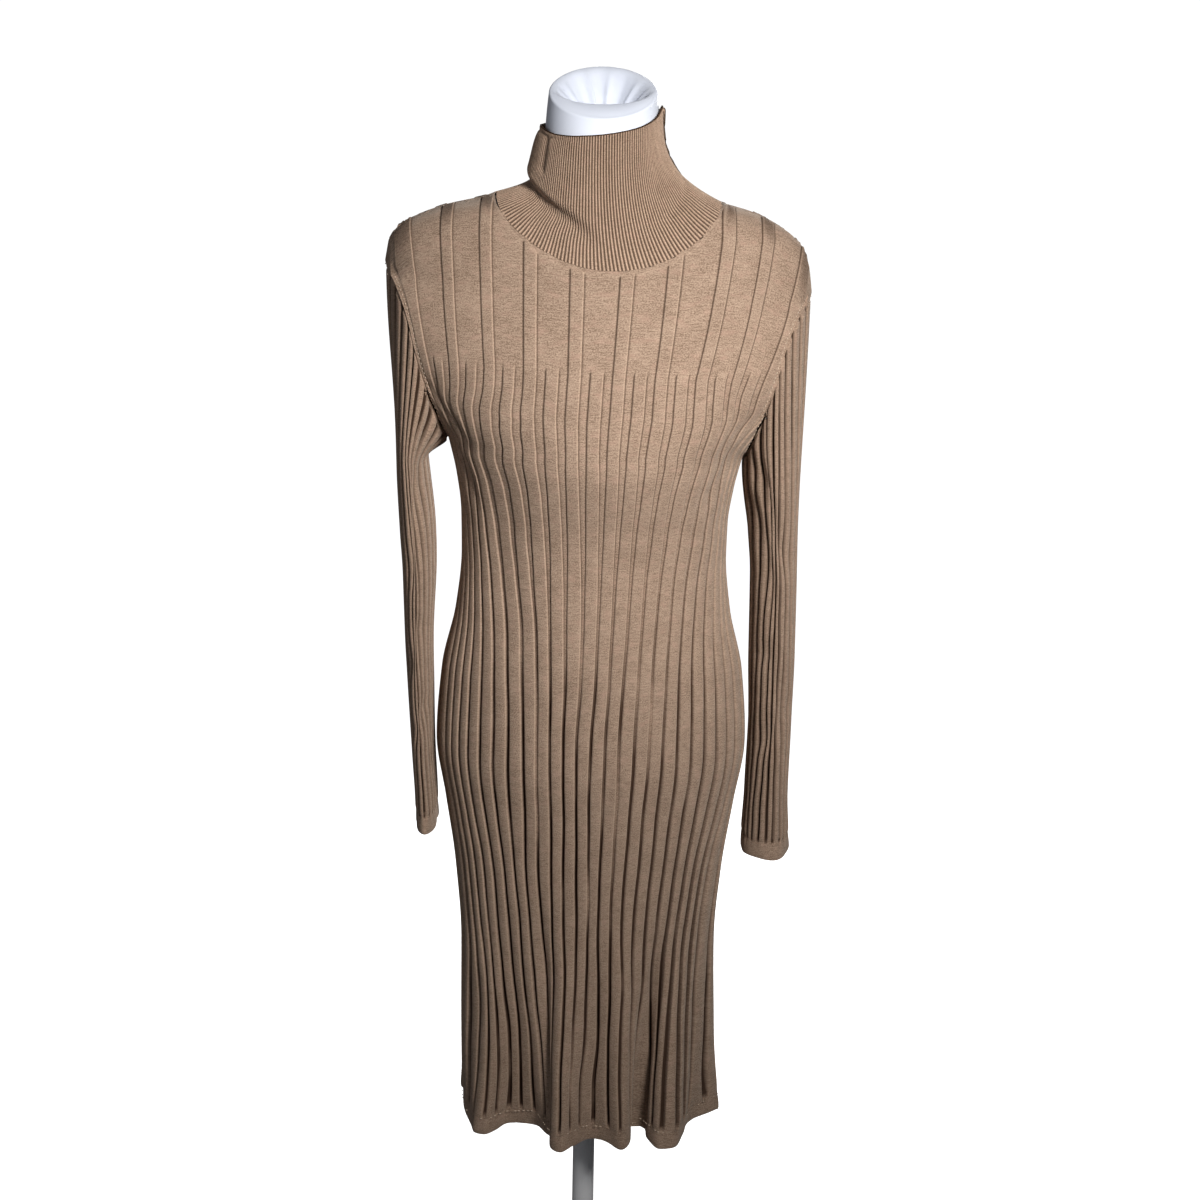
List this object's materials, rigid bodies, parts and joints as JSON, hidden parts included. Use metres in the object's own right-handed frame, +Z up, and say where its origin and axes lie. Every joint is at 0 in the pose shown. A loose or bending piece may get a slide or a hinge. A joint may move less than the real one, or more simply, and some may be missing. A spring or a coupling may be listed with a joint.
{
  "type": "sweater dress on a dress form",
  "caption": "Ribbed knit long-sleeved midi dress with a roll neck, worn out to its full shape on a limbless dress form with a pole and a round base.",
  "frame": {"origin": "middle of the underside of the stand's base", "axes": "+Z up; the front of the dress faces -Y; the wearer's left is +X"},
  "size_m": [0.4476, 0.34, 1.5637],
  "materials": {
    "knit": "fine heathered knit with flat ribs",
    "rib": "fine heathered rib knit",
    "cover": "smooth stretch jersey",
    "stand": "satin powder coat"
  },
  "bodies": {
    "root": {"panel_front": "knit", "panel_back": "knit", "hem_front": "knit", "hem_back": "knit", "sleeve_left": "rib", "sleeve_right": "rib", "cuff_left": "knit", "cuff_right": "knit", "collar": "rib", "form_torso": "cover", "form_neck": "cover", "form_pole": "stand", "form_base": "stand"}
  },
  "joints": []
}
